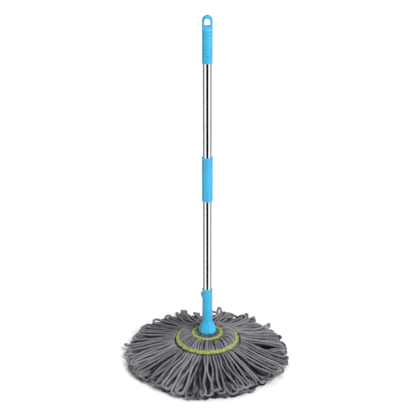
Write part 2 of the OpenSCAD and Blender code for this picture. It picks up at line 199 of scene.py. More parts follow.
def polished_stainless_tube():
    """Stainless tube, welded, drawn and buffed: a mirror with faint lines along its length. The lines
    are finer than 0.1 mm, and are drawn 1.1 mm apart and 90 mm long so that they show."""
    material, tree, shader = new_material("polished_stainless_tube")
    place = add_node(tree, "ShaderNodeTexCoord").outputs["Object"]
    stretched = add_node(tree, "ShaderNodeMapping", {"Vector": place, "Scale": (1, 1, 0.012)})
    drawn = add_node(tree, "ShaderNodeTexNoise", {
        "Vector": stretched.outputs["Vector"], "Scale": 1 / (1.1 * MM), "Detail": 3.0
    })
    haze = add_node(tree, "ShaderNodeTexNoise", {"Vector": place, "Scale": 1 / (110 * MM)})
    share = add_node(tree, "ShaderNodeMapRange", {"Value": haze.outputs["Fac"], **NOISE_RANGE})
    tone = add_node(tree, "ShaderNodeMix", {
        "Factor": share.outputs["Result"], DARK: linear("#DDDFE2"), LIGHT: linear("#EEF0F2")
    }, data_type="RGBA")
    gloss = add_node(tree, "ShaderNodeMapRange", {
        "Value": drawn.outputs["Fac"], **NOISE_RANGE, "To Min": 0.05, "To Max": 0.12
    })
    relief = add_node(tree, "ShaderNodeBump", {
        "Height": drawn.outputs["Fac"], "Strength": 0.06, "Distance": 0.02 * MM
    })
    connect(tree, shader, {
        "Metallic": 1.0, "Base Color": tone.outputs[MIXED], "Roughness": gloss.outputs["Result"],
        "Normal": relief.outputs["Normal"]
    })
    return material


def moulded_nylon():
    """Moulded natural nylon: off-white, matt and slightly translucent, clouded every 17 mm."""
    material, tree, shader = new_material("moulded_nylon")
    place = add_node(tree, "ShaderNodeTexCoord").outputs["Object"]
    cloud = add_node(tree, "ShaderNodeTexNoise", {"Vector": place, "Scale": 1 / (17 * MM)})
    share = add_node(tree, "ShaderNodeMapRange", {"Value": cloud.outputs["Fac"], **NOISE_RANGE})
    tone = add_node(tree, "ShaderNodeMix", {
        "Factor": share.outputs["Result"], DARK: linear("#D8D5CA"), LIGHT: linear("#E8E6DC")
    }, data_type="RGBA")
    gloss = add_node(tree, "ShaderNodeMapRange", {
        "Value": cloud.outputs["Fac"], **NOISE_RANGE, "To Min": 0.42, "To Max": 0.55
    })
    connect(tree, shader, {
        "IOR": 1.53, "Subsurface Weight": 0.15, "Subsurface Scale": 2 * MM,
        "Base Color": tone.outputs[MIXED], "Roughness": gloss.outputs["Result"]
    })
    return material


def zinc_plated_steel():
    """Bright zinc on steel: a bluish grey metal, cloudy in its gloss every 2.4 mm."""
    material, tree, shader = new_material("zinc_plated_steel")
    place = add_node(tree, "ShaderNodeTexCoord").outputs["Object"]
    cloud = add_node(tree, "ShaderNodeTexNoise", {"Vector": place, "Scale": 1 / (2.4 * MM), "Detail": 3.0})
    share = add_node(tree, "ShaderNodeMapRange", {"Value": cloud.outputs["Fac"], **NOISE_RANGE})
    tone = add_node(tree, "ShaderNodeMix", {
        "Factor": share.outputs["Result"], DARK: linear("#AEB4BA"), LIGHT: linear("#D2D6DA")
    }, data_type="RGBA")
    gloss = add_node(tree, "ShaderNodeMapRange", {
        "Value": cloud.outputs["Fac"], **NOISE_RANGE, "To Min": 0.22, "To Max": 0.42
    })
    connect(tree, shader, {
        "Metallic": 1.0, "Base Color": tone.outputs[MIXED], "Roughness": gloss.outputs["Result"]
    })
    return material


def moulded_rubber():
    """Moulded rubber: near black and matt. Its grain of about 0.1 mm is drawn 1.1 mm wide to show."""
    material, tree, shader = new_material("moulded_rubber")
    place = add_node(tree, "ShaderNodeTexCoord").outputs["Object"]
    grain = add_node(tree, "ShaderNodeTexNoise", {"Vector": place, "Scale": 1 / (1.1 * MM)})
    share = add_node(tree, "ShaderNodeMapRange", {"Value": grain.outputs["Fac"], **NOISE_RANGE})
    tone = add_node(tree, "ShaderNodeMix", {
        "Factor": share.outputs["Result"], DARK: linear("#1C1D1F"), LIGHT: linear("#2A2B2E")
    }, data_type="RGBA")
    gloss = add_node(tree, "ShaderNodeMapRange", {
        "Value": grain.outputs["Fac"], **NOISE_RANGE, "To Min": 0.62, "To Max": 0.8
    })
    connect(tree, shader, {
        "IOR": 1.52, "Base Color": tone.outputs[MIXED], "Roughness": gloss.outputs["Result"]
    })
    return material


def microfibre_yarn():
    """Plied microfibre cord: split polyester, dull and soft, each cord a shade apart from the next.
    Fibres 0.01 mm thick can't show, so the fuzz is drawn as tufts about 1.4 mm long."""
    material, tree, shader = new_material("microfibre_yarn")
    place = add_node(tree, "ShaderNodeTexCoord").outputs["Object"]
    # Each cord's own random tone, with painted shade darkening the deeper layers and the cords round the
    # sleeve's mouth
    tone = add_node(tree, "ShaderNodeAttribute", attribute_name="cord_tone_and_shade")
    along = add_node(tree, "ShaderNodeAttribute", attribute_name="cord_space")
    tufts = add_node(tree, "ShaderNodeTexNoise", {
        "Vector": along.outputs["Vector"], "Scale": 1.0, "Detail": 3.0, "Roughness": 0.65
    })
    dyed = add_node(tree, "ShaderNodeTexNoise", {"Vector": place, "Scale": 1 / (26.3 * MM)})
    own = add_node(tree, "ShaderNodeMath", {0: tufts.outputs["Fac"], 1: tone.outputs["Fac"]}, operation="ADD")
    total = add_node(tree, "ShaderNodeMath", {0: own.outputs[0], 1: dyed.outputs["Fac"]}, operation="ADD")
    share = add_node(tree, "ShaderNodeMapRange", {
        "Value": total.outputs[0], "From Min": 0.54, "From Max": 2.1
    })
    colour = add_node(tree, "ShaderNodeMix", {
        "Factor": share.outputs["Result"], DARK: linear("#1A171D"), LIGHT: linear("#9B979F")
    }, data_type="RGBA")
    relief = add_node(tree, "ShaderNodeBump", {
        "Height": tufts.outputs["Fac"], "Strength": 0.8, "Distance": 0.6 * MM
    })
    connect(tree, shader, {
        "Roughness": 0.95, "Specular IOR Level": 0.1, "Sheen Weight": 0.15, "Sheen Roughness": 0.6,
        "Base Color": colour.outputs[MIXED], "Normal": relief.outputs["Normal"]
    })
    return material


def woven_tape():
    """Woven polyester binding tape: bright green, with a rib each 1.1 mm across threads each 0.9 mm,
    and a little grey worn into it in spots of about 6 mm."""
    material, tree, shader = new_material("woven_tape")
    place = add_node(tree, "ShaderNodeTexCoord").outputs["Object"]
    flat = add_node(tree, "ShaderNodeUVMap", uv_map="UVMap")
    ways = add_node(tree, "ShaderNodeSeparateXYZ", {"Vector": flat.outputs["UV"]})
    ribs = add_node(tree, "ShaderNodeMath", {0: ways.outputs["X"], 1: TAU / (1.1 * MM)}, operation="MULTIPLY")
    rib_wave = add_node(tree, "ShaderNodeMath", {0: ribs.outputs[0]}, operation="SINE")
    ends = add_node(tree, "ShaderNodeMath", {0: ways.outputs["Y"], 1: TAU / (0.9 * MM)}, operation="MULTIPLY")
    end_wave = add_node(tree, "ShaderNodeMath", {0: ends.outputs[0]}, operation="SINE")
    weave = add_node(tree, "ShaderNodeMath", {0: rib_wave.outputs[0], 1: end_wave.outputs[0]},
                     operation="MULTIPLY")
    worn = add_node(tree, "ShaderNodeTexNoise", {"Vector": place, "Scale": 1 / (6.25 * MM), "Detail": 3.0})
    both = add_node(tree, "ShaderNodeMath", {0: weave.outputs[0], 1: 0.12, 2: worn.outputs["Fac"]},
                    operation="MULTIPLY_ADD")
    share = add_node(tree, "ShaderNodeMapRange", {
        "Value": both.outputs[0], "From Min": 0.32, "From Max": 0.68
    })
    tone = add_node(tree, "ShaderNodeMix", {
        "Factor": share.outputs["Result"], DARK: linear("#76883A"), LIGHT: linear("#A9BF60")
    }, data_type="RGBA")
    relief = add_node(tree, "ShaderNodeBump", {
        "Height": weave.outputs[0], "Strength": 0.5, "Distance": 0.25 * MM
    })
    connect(tree, shader, {
        "Roughness": 0.8, "Specular IOR Level": 0.3, "Sheen Weight": 0.25, "Sheen Roughness": 0.5,
        "Base Color": tone.outputs[MIXED], "Normal": relief.outputs["Normal"]
    })
    return material


def sewing_thread():
    """Spun polyester sewing thread, a darker green than the tape it holds, twisted every 0.4 mm."""
    material, tree, shader = new_material("sewing_thread")
    place = add_node(tree, "ShaderNodeTexCoord").outputs["Object"]
    twist = add_node(tree, "ShaderNodeTexNoise", {"Vector": place, "Scale": 1 / (0.4 * MM)})
    share = add_node(tree, "ShaderNodeMapRange", {"Value": twist.outputs["Fac"], **NOISE_RANGE})
    tone = add_node(tree, "ShaderNodeMix", {
        "Factor": share.outputs["Result"], DARK: linear("#55782A"), LIGHT: linear("#86A446")
    }, data_type="RGBA")
    connect(tree, shader, {"Roughness": 0.7, "Sheen Weight": 0.2, "Base Color": tone.outputs[MIXED]})
    return material


BLUE = moulded_polypropylene()
STEEL = polished_stainless_tube()
NYLON = moulded_nylon()
ZINC = zinc_plated_steel()
RUBBER = moulded_rubber()
YARN = microfibre_yarn()
TAPE = woven_tape()
THREAD = sewing_thread()

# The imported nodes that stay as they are, apart from their finish
NODE_MATERIALS = {
    BLUE: ("foot_socket", "foot_plate", "upper_yarn_ring", "release_lever", "slide_liner"),
    STEEL: ("upper_tube", "lower_tube"),
    NYLON: ("thread_socket", "thread_stud", "foot_plug"),
    ZINC: ("plate_screws", "hub_screw", "hub_washer", "liner_retainer", "ring_screws", "lever_pin"),
    RUBBER: ("brake_shoe",),
}


def dress_nodes():
    for material, names in NODE_MATERIALS.items():
        for name in names:
            slots = nodes[name].data.materials
            slots.clear()
            slots.append(material)


# ---- Mesh tools ----

def add_object(name, data):
    thing = bpy.data.objects.new(name, data)
    bpy.context.scene.collection.objects.link(thing)
    return thing


def new_piece(name, mesh, material, crease=None):
    """A piece with one finish. With a crease angle it is smooth but for edges sharper than that."""
    piece = add_object(name, mesh)
    mesh.materials.clear()
    mesh.materials.append(material)
    if crease:
        mesh.polygons.foreach_set("use_smooth", [True] * len(mesh.polygons))
        mesh.set_sharp_from_angle(angle=math.radians(crease))
    return piece


def merge_doubles(mesh):
    """Joins points that coincide and turns every face outwards."""
    merged = bmesh.new()
    merged.from_mesh(mesh)
    bmesh.ops.remove_doubles(merged, verts=merged.verts, dist=0.002 * MM)
    bmesh.ops.recalc_face_normals(merged, faces=merged.faces)
    merged.to_mesh(mesh)
    merged.free()


def mesh_from(name, points, faces):
    mesh = bpy.data.meshes.new(name)
    mesh.from_pydata([tuple(p) for p in points], [], faces)
    merge_doubles(mesh)
    return mesh


def modified(mesh, kind, settings, inputs=None):
    """The plain mesh that a modifier makes of another; a tree's inputs are set by identifier."""
    holder = add_object("holder", mesh)
    modifier = holder.modifiers.new("made", kind)
    for name, value in settings.items():
        setattr(modifier, name, value)
    if inputs:
        for item in modifier.node_group.interface.items_tree:
            if item.item_type == "SOCKET" and item.in_out == "INPUT" and item.name in inputs:
                modifier[item.identifier] = inputs[item.name]
    bpy.context.view_layer.update()
    graph = bpy.context.evaluated_depsgraph_get()
    made = bpy.data.meshes.new_from_object(holder.evaluated_get(graph))
    bpy.data.objects.remove(holder)
    return made


def carve(mesh, tool_mesh, operation="DIFFERENCE"):
    """Cuts one mesh out of another, or joins it on."""
    tool = add_object("tool", tool_mesh)
    made = modified(mesh, "BOOLEAN", {"operation": operation, "solver": "EXACT", "object": tool})
    bpy.data.objects.remove(tool)
    return made


def rounded(corners, steps=6):
    """An outline of (x, y, fillet) corners with each corner rounded to its fillet."""
    outline = []
    for i, (x, y, fillet) in enumerate(corners):
        here = Vector((x, y))
        before = Vector(corners[i - 1][:2]) - here
        after = Vector(corners[(i + 1) % len(corners)][:2]) - here
        turn = math.pi - before.angle(after)
        if fillet <= 0 or turn < 0.02:
            outline.append((x, y))
            continue
        back = min(fillet * math.tan(turn / 2), 0.48 * before.length, 0.48 * after.length)
        a = here + before.normalized() * back
        b = here + after.normalized() * back
        for k in range(steps + 1):
            t = k / steps
            outline.append(tuple(a * (1 - t) ** 2 + here * (2 * t * (1 - t)) + b * t ** 2))
    return outline


def ring_faces(rings, count, closed):
    """Four-sided faces between rings of points; closed also joins the last ring to the first."""
    total = rings * count
    faces = []
    for j in range(rings if closed else rings - 1):
        for k in range(count):
            a = j * count + k
            b = j * count + (k + 1) % count
            faces.append((a, b, (b + count) % total, (a + count) % total))
    return faces


def lathe(name, outline, around=160, swell=None):
    """A ring turned from a closed outline of (radius, height); swell adds to the radius."""
    points = []
    for step in range(around):
        angle = TAU * step / around
        for r, z in outline:
            wide = r + (swell(r, z, angle) if swell else 0.0)
            points.append((wide * math.cos(angle), wide * math.sin(angle), z))
    return mesh_from(name, points, ring_faces(around, len(outline), closed=True))


def loft(name, rings):
    """A closed skin over rings of equal length, with a fan over each end."""
    count = len(rings[0])
    points = [p for ring in rings for p in ring]
    faces = ring_faces(len(rings), count, closed=False)
    for ring, first in ((rings[0], 0), (rings[-1], (len(rings) - 1) * count)):
        points.append(sum((Vector(p) for p in ring), Vector()) / count)
        middle = len(points) - 1
        faces += [(first + k, first + (k + 1) % count, middle) for k in range(count)]
    return mesh_from(name, points, faces)


# ---- Hanging handle ----

HANDLE_Z = low("hanging_handle")
HANDLE_R = TUBE_R + 2.3 * MM
ARCH_Z = high("hanging_handle") - HANDLE_R
# Half the thickness of the handle's flattened end
END_HALF = 10.5 * MM
FLAT_FROM = high("upper_tube") + 2 * MM
FLAT_TO = FLAT_FROM + 15 * MM
RIBS = 8
RIB_FROM = HANDLE_Z + 22 * MM
RIB_TO = FLAT_FROM + 7 * MM
RIB_H = 1.3 * MM
# Half the width of a rib, from its middle to where it starts to fade
RIB_HALF = 8 * MM


def superellipse(half_x, half_y, power, z, around=96):
    ring = []
    for step in range(around):
        angle = TAU * step / around
        c, s = math.cos(angle), math.sin(angle)
        x = half_x * math.copysign(abs(c) ** (2 / power), c)
        y = half_y * math.copysign(abs(s) ** (2 / power), s)
        ring.append((x, y, z))
    return ring


def handle_ring(z):
    """The handle's outline at a height: round, then squeezed flat, and arched at its top."""
    collar, edge_h, edge_fillet = 0.35 * MM, 1 * MM, 0.8 * MM
    up = min(1.0, (z - HANDLE_Z) / edge_h)
    wide = HANDLE_R + collar * (1 - between(z, HANDLE_Z + 5 * MM, HANDLE_Z + 7 * MM))
    wide -= edge_fillet * (1 - math.sqrt(max(0.0, 1 - (1 - up) ** 2)))
    squeeze = between(z, FLAT_FROM, FLAT_TO)
    deep = wide + (END_HALF - wide) * squeeze
    if z > ARCH_Z:
        rise = (z - ARCH_Z) / HANDLE_R
        wide = max(HANDLE_R * math.sqrt(max(0.0, 1 - rise * rise)), 0.02 * MM)
        deep = END_HALF - 2.6 * MM * rise ** 6
    ring = superellipse(wide, deep, 2 + 1.4 * squeeze, z)
    phase = (z - RIB_FROM) / (RIB_TO - RIB_FROM) * RIBS
    if 0 <= phase <= RIBS:
        ridge = RIB_H * between(0.5 - abs(phase % 1 - 0.5), 0.12, 0.34)
        fade = [1 - between(abs(x), RIB_HALF, RIB_HALF + 3 * MM) for x, y, z in ring]
        ring = [(x, y + math.copysign(ridge * f, y), z) for (x, y, z), f in zip(ring, fade)]
    return ring


def handle_mesh():
    edge_rings, edge_pitch, pitch, arch_rings = 4, 0.35 * MM, 0.8 * MM, 40
    body_z = HANDLE_Z + edge_rings * edge_pitch
    heights = [HANDLE_Z + edge_pitch * k for k in range(edge_rings)]
    heights += [body_z + pitch * k for k in range(int((ARCH_Z - body_z) / pitch))]
    heights += [ARCH_Z + HANDLE_R * math.sin(TAU / 4 * k / arch_rings) for k in range(arch_rings + 1)]
    return loft("hanging_handle_moulding", [handle_ring(z) for z in heights])


def slot_mesh():
    """The hanging slot's cutter: arched over a flat bottom, and flaring where it leaves the handle."""
    z0 = high("upper_tube") + 18 * MM
    half, length, corner = 9 * MM, 24 * MM, 4 * MM
    ease, ease_share = 2.4 * MM, 0.6
    past_skin = 1.15
    rings = []
    for step in range(-20, 21):
        y = END_HALF * past_skin * step / 20
        outward = max(0.0, abs(y) - (END_HALF - ease)) / ease
        flare = ease * (1 - math.sqrt(max(0.0, 1 - min(outward, 1.0) ** 2))) * ease_share
        ring = []
        for k in range(64):
            angle = TAU * (k + 0.5) / 64
            c, s = math.cos(angle), math.sin(angle)
            if s > 0:
                ring.append(((half + flare) * c, y, z0 + length - half + (half + flare) * s))
            else:
                x = math.copysign(half - corner, c) + (corner + flare) * c
                ring.append((x, y, z0 + corner + (corner + flare) * s))
        rings.append(ring)
    return loft("slot", rings)


def make_handle():
    mesh = carve(handle_mesh(), slot_mesh())
    piece = new_piece("hanging_handle_moulding", mesh, BLUE, crease=38)
    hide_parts("hanging_handle")
    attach(piece, "pole")


# ---- Middle grip ----

def make_grip():
    """The middle grip: a plain sleeve with a lip at its top and a rounded lower end."""
    z0, z1 = low("middle_grip"), high("middle_grip")
    r = outer_radius("middle_grip", (z0 + z1) / 2)
    lip = reach("middle_grip")
    outline = rounded([
        (TUBE_R, z0, 0.3 * MM), (r, z0, 3 * MM), (r, z1 - 5 * MM, 3 * MM), (lip, z1 - 2.6 * MM, 2 * MM),
        (lip, z1, 1.1 * MM), (TUBE_R, z1, 0.5 * MM)
    ], 8)
    mesh = lathe("middle_grip_moulding", outline)
    piece = new_piece("middle_grip_moulding", mesh, BLUE, crease=40)
    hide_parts("middle_grip")
    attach(piece, "pole")


# ---- Wringing sleeve ----

FLARE_H = 42 * MM
FLUTES = 12
FLUTE_DEPTH = 1.5 * MM
SLEEVE_WALL = 2 * MM
# How far the liner's rim stands past the sleeve's bore
LINER_RIM = 2.15 * MM
FLARE_Z = np.linspace(MOUTH_Z + 0.2 * MM, MOUTH_Z + FLARE_H, 80)
FLARE_R = np.array([outer_radius("bell_sleeve", z) for z in FLARE_Z])


def flute(r, z, angle):
    """Height of the flare's soft ribs, which die out at both ends and on the inside."""
    rise = (MOUTH_Z + FLARE_H - MM - z) / (FLARE_H - 2 * MM)
    share = between(rise, 0.0, 0.25) * (1 - between(rise, 0.9, 1.0))
    skin = float(np.interp(z, FLARE_Z, FLARE_R))
    outside = between(r, skin - 0.6 * MM, skin)
    return FLUTE_DEPTH * share * outside * (0.5 - 0.5 * math.cos(FLUTES * angle)) ** 1.3


def bell_mesh():
    """The sleeve, hollow in its mouth up to the web that the liner passes through."""
    bore = reach("slide_liner") - LINER_RIM
    web_z = MOUTH_Z + 12 * MM
    flare_z = MOUTH_Z + FLARE_H
    body_z = SLEEVE_TOP - 12 * MM
    heights = [body_z - k * (body_z - flare_z) / 10 for k in range(10)]
    heights += [flare_z - k * 0.8 * MM for k in range(51)]
    corners = [
        (bore, SLEEVE_TOP, 0.4 * MM), (outer_radius("bell_sleeve", SLEEVE_TOP - MM), SLEEVE_TOP, 0.8 * MM)
    ]
    corners += [(outer_radius("bell_sleeve", z), z, 0) for z in heights if z > MOUTH_Z + 1.5 * MM]
    corners += [
        (MOUTH_R, MOUTH_Z, 0.9 * MM), (MOUTH_R - SLEEVE_WALL, MOUTH_Z, 0.8 * MM),
        (outer_radius("bell_sleeve", web_z) - SLEEVE_WALL, web_z, 1 * MM), (bore, web_z, 0.4 * MM)
    ]
    return lathe("bell_sleeve_moulding", rounded(corners), 192, flute)


def pin_axis():
    lowest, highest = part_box("lever_pin")
    return (lowest + highest) / 2


def lever_prism(name, outline, half_width, middle_y=0.0):
    """A plate across the lever's pin, drawn as (out, up) from the pin, with eased edges."""
    pin = pin_axis()
    edge = 0.35 * MM
    centre = Vector((sum(p[0] for p in outline), sum(p[1] for p in outline))) / len(outline)
    rings = []
    for side, inset in ((-1, edge), (-1, 0.0), (1, 0.0), (1, edge)):
        y = middle_y + side * (half_width - (0 if inset else edge))
        ring = []
        for corner in outline:
            arm = Vector(corner) - centre
            out, up = centre + arm * (1 - inset / max(arm.length, edge))
            ring.append((pin.x - out, y, pin.z + up))
        rings.append(ring)
    return loft(name, rings)


def make_bell():
    """The sleeve, with the slot that its release lever sits in and the two ears of the lever's pin."""
    pin = pin_axis()
    lever_half, ear_half, side_gap = 4.2 * MM, 1.1 * MM, 0.35 * MM
    root = TUBE_R + 1 * MM - abs(pin.x)
    ear = rounded([
        (root, -5 * MM, 0), (1.6 * MM, -2.7 * MM, 1.6 * MM), (2.7 * MM, 0, 2 * MM),
        (1.6 * MM, 2.7 * MM, 1.6 * MM), (root, 5 * MM, 0)
    ])
    window = [(-6 * MM, -13.5 * MM), (6 * MM, -13.5 * MM), (6 * MM, 12 * MM), (-6 * MM, 12 * MM)]
    mesh = bell_mesh()
    for side in (-1, 1):
        mesh = carve(mesh, lever_prism("ear", ear, ear_half, side * (lever_half + ear_half)), "UNION")
    mesh = carve(mesh, lever_prism("window", window, lever_half + side_gap))
    piece = new_piece("bell_sleeve_moulding", mesh, BLUE, crease=35)
    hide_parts("bell_sleeve")
    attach(piece, "sleeve")


def make_spring():
    """The lever's torsion spring wire, a merged and smoothed copy of its node."""
    wire = nodes["lever_spring"].data.copy()
    wire.transform(nodes["lever_spring"].matrix_world)
    merge_doubles(wire)
    piece = new_piece("lever_spring_wire", wire, ZINC, crease=40)
    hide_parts("lever_spring")
    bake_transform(piece)


# ---- Geometry Nodes trees ----

def new_geometry_tree(name, inputs):
    """An empty tree with a mesh and named inputs; returns the tree and the inputs' outputs."""
    tree = bpy.data.node_groups.new(name, "GeometryNodeTree")
    tree.interface.new_socket("Geometry", in_out="INPUT", socket_type="NodeSocketGeometry")
    for label, kind in inputs.items():
        tree.interface.new_socket(label, in_out="INPUT", socket_type=kind)
    tree.interface.new_socket("Geometry", in_out="OUTPUT", socket_type="NodeSocketGeometry")
    return tree, add_node(tree, "NodeGroupInput").outputs


def finish_tree(tree, geometry, material):
    """Ends a tree in Realize Instances and Set Material."""
    real = add_node(tree, "GeometryNodeRealizeInstances", {"Geometry": geometry})
    dressed = add_node(tree, "GeometryNodeSetMaterial", {"Geometry": real.outputs[0], "Material": material})
    add_node(tree, "NodeGroupOutput", {0: dressed.outputs[0]})


def plied_cord_tree():
    """Sweeps a plied cord along every path: a profile with one lobe a ply, turned as it goes."""
    profile_points = 9
    tree, given = new_geometry_tree("plied_cord", {
        "Ring Spacing": "NodeSocketFloat", "Plies": "NodeSocketFloat", "Ply Depth": "NodeSocketFloat",
        "Lay Length": "NodeSocketFloat", "Tuft Length": "NodeSocketFloat", "Tufts Around": "NodeSocketFloat",
        "Material": "NodeSocketMaterial"
    })
    thickness = add_node(tree, "GeometryNodeInputNamedAttribute", {"Name": "cord_radius"}, data_type="FLOAT")
    travelled = add_node(tree, "GeometryNodeInputNamedAttribute", {"Name": "cord_length"}, data_type="FLOAT")

    # The path, in even steps, twisted once in each lay length
    curve = add_node(tree, "GeometryNodeMeshToCurve", {"Mesh": given["Geometry"]})
    even = add_node(tree, "GeometryNodeResampleCurve",
                    {"Curve": curve.outputs[0], "Length": given["Ring Spacing"]}, mode="LENGTH")
    turns = add_node(tree, "ShaderNodeMath", {0: travelled.outputs[0], 1: given["Lay Length"]},
                     operation="DIVIDE")
    tilt = add_node(tree, "ShaderNodeMath", {0: turns.outputs[0], 1: TAU}, operation="MULTIPLY")
    laid = add_node(tree, "GeometryNodeSetCurveTilt", {"Curve": even.outputs[0], "Tilt": tilt.outputs[0]})

    # The profile: a circle pulled out into lobes
    circle = add_node(tree, "GeometryNodeCurvePrimitiveCircle", {"Resolution": profile_points, "Radius": 1.0})
    index = add_node(tree, "GeometryNodeInputIndex")
    angle = add_node(tree, "ShaderNodeMath", {0: index.outputs[0], 1: TAU / profile_points},
                     operation="MULTIPLY")
    lobes = add_node(tree, "ShaderNodeMath", {0: angle.outputs[0], 1: given["Plies"]}, operation="MULTIPLY")
    wave = add_node(tree, "ShaderNodeMath", {0: lobes.outputs[0]}, operation="COSINE")
    scale = add_node(tree, "ShaderNodeMath", {0: wave.outputs[0], 1: given["Ply Depth"], 2: 1.0},
                     operation="MULTIPLY_ADD")
    place = add_node(tree, "GeometryNodeInputPosition")
    spread = add_node(tree, "ShaderNodeVectorMath", {0: place.outputs[0], "Scale": scale.outputs[0]},
                      operation="SCALE")
    lobed = add_node(tree, "GeometryNodeSetPosition",
                     {"Geometry": circle.outputs[0], "Position": spread.outputs[0]})
    around = add_node(tree, "GeometryNodeStoreNamedAttribute",
                      {"Geometry": lobed.outputs[0], "Name": "cord_around", "Value": place.outputs[0]},
                      data_type="FLOAT_VECTOR")

    # The cord, with the place along and around it that its fuzz is drawn on
    swept = add_node(tree, "GeometryNodeCurveToMesh", {
        "Curve": laid.outputs[0], "Profile Curve": around.outputs[0], "Scale": thickness.outputs[0],
        "Fill Caps": True
    })
    side = add_node(tree, "GeometryNodeInputNamedAttribute", {"Name": "cord_around"},
                    data_type="FLOAT_VECTOR")
    along = add_node(tree, "ShaderNodeMath", {0: travelled.outputs[0], 1: given["Tuft Length"]},
                     operation="DIVIDE")
    lengthwise = add_node(tree, "ShaderNodeCombineXYZ", {"X": along.outputs[0]})
    wide = add_node(tree, "ShaderNodeVectorMath", {0: side.outputs[0], "Scale": given["Tufts Around"]},
                    operation="SCALE")
    both = add_node(tree, "ShaderNodeVectorMath", {0: wide.outputs[0], 1: lengthwise.outputs[0]},
                    operation="ADD")
    marked = add_node(tree, "GeometryNodeStoreNamedAttribute",
                      {"Geometry": swept.outputs[0], "Name": "cord_space", "Value": both.outputs[0]},
                      data_type="FLOAT_VECTOR")
    soft = add_node(tree, "GeometryNodeSetShadeSmooth", {"Geometry": marked.outputs[0]})
    finish_tree(tree, soft.outputs[0], given["Material"])
    return tree


def stitch_row_tree():
    """Lays a short rounded stitch along a path at every stitch length."""
    tree, given = new_geometry_tree("stitch_row", {
        "Stitch Length": "NodeSocketFloat", "Thread Radius": "NodeSocketFloat",
        "Material": "NodeSocketMaterial"
    })
    curve = add_node(tree, "GeometryNodeMeshToCurve", {"Mesh": given["Geometry"]})
    points = add_node(tree, "GeometryNodeCurveToPoints",
                      {"Curve": curve.outputs[0], "Length": given["Stitch Length"]}, mode="LENGTH")
    half = add_node(tree, "ShaderNodeMath", {0: given["Stitch Length"], 1: 0.4}, operation="MULTIPLY")
    size = add_node(tree, "ShaderNodeCombineXYZ",
                    {"X": given["Thread Radius"], "Y": given["Thread Radius"], "Z": half.outputs[0]})
    bead = add_node(tree, "GeometryNodeMeshUVSphere", {"Segments": 6, "Rings": 5, "Radius": 1.0})
    row = add_node(tree, "GeometryNodeInstanceOnPoints", {
        "Points": points.outputs["Points"], "Instance": bead.outputs[0],
        "Rotation": points.outputs["Rotation"], "Scale": size.outputs[0]
    })
    finish_tree(tree, row.outputs[0], given["Material"])
    return tree


CORD_TREE = plied_cord_tree()
STITCH_TREE = stitch_row_tree()
CORD_LAY = 26 * MM


# ---- Yarn ----

SECTORS = 12
FLOOR_SECTORS = 4
CORDS = 72
LAYERS = 3
# How far each layer lies under the one above, and how far its loops fall short of that one's
LAYER_DROP = 7 * MM
LAYER_SHORT = 7 * MM
# Painted shade: how much darker each layer's cords are painted, the deeper layers darker as less light
# reaches them
LAYER_PAINTED_SHADE = (0.0, 0.6, 1.1)
# The plies open as the cord goes slack towards its loop
SLACK_SWELL = 0.16
FLOOR_Z = 1.15 * (1 + SLACK_SWELL) * CORD_R
NECK_IN = MOUTH_R + 3 * MM
NECK_OUT = OUTER_TAPE_R - TAPE_W / 2
SKIRT_IN = OUTER_TAPE_R + TAPE_W / 2
FLOOR_CUT = HEAD_R - 26 * MM
# Where the returning cords end, in the foot's clamp
CLAMP_R = 34 * MM
STEP_OUT = 6 * MM
STEP_BACK = 9 * MM
LOOP_STEPS = 12
# Painted shade: how much darker the cords are painted in the shadow round the sleeve's mouth
MOUTH_PAINTED_SHADE = 0.45
LAYER_START = (NECK_IN, 38 * MM, 118 * MM)
# Where the top layer leaves the sleeve: radius, and height over its mouth
MOUTH_STEPS = ((23.8 * MM, 9 * MM), (24.4 * MM, 3 * MM), (26.5 * MM, -1.6 * MM))
# Loops that stand out from the rest, by cord: how far short of the rim, how far the tip lifts, its width
STRAYS = {
    34: (-5 * MM, 2 * MM, 12 * MM), 23: (4 * MM, 10 * MM, 8 * MM), 21: (2 * MM, 15 * MM, 8 * MM),
    20: (3 * MM, 12 * MM, 8 * MM), 17: (2 * MM, 19 * MM, 12 * MM), 13: (3 * MM, 13 * MM, 8 * MM),
    11: (4 * MM, 10 * MM, 8 * MM), 7: (2 * MM, 8 * MM, 8 * MM)
}


def cord_limit(r, count):
    """Radius that a cord keeps where count of them crowd round the pole, just clear of each other."""
    just_clear = 0.47
    return min(CORD_R, TAU * r / count * just_clear)


def puff(r):
    """How much the yarn bulges between the tapes and just past them, and dips under each."""
    bulge = between(r, INNER_TAPE_R + TAPE_W / 2, 66 * MM) * (1 - between(r, 80 * MM, NECK_OUT + 1 * MM))
    past = between(r, SKIRT_IN, SKIRT_IN + 10 * MM) * (1 - between(r, SKIRT_IN + 12 * MM, SKIRT_IN + 50 * MM))
    inner_dip, outer_dip = (math.exp(-((r - t) / (0.8 * TAPE_W)) ** 2) for t in (INNER_TAPE_R, OUTER_TAPE_R))
    return 4 * MM * bulge + 2 * MM * past - 2.5 * MM * inner_dip - 1 * MM * outer_dip


def make_bundles(draw):
    """Neighbouring cords hang together: (first cord, cords, bend, how far they fall short)."""
    bundles = []
    first = 0
    while first < CORDS:
        count = min(draw.randint(4, 8), CORDS - first)
        bundles.append((first, count, draw.uniform(-12, 12) * MM, 18 * MM * draw.uniform(0, 1) ** 2))
        first += count
    return bundles


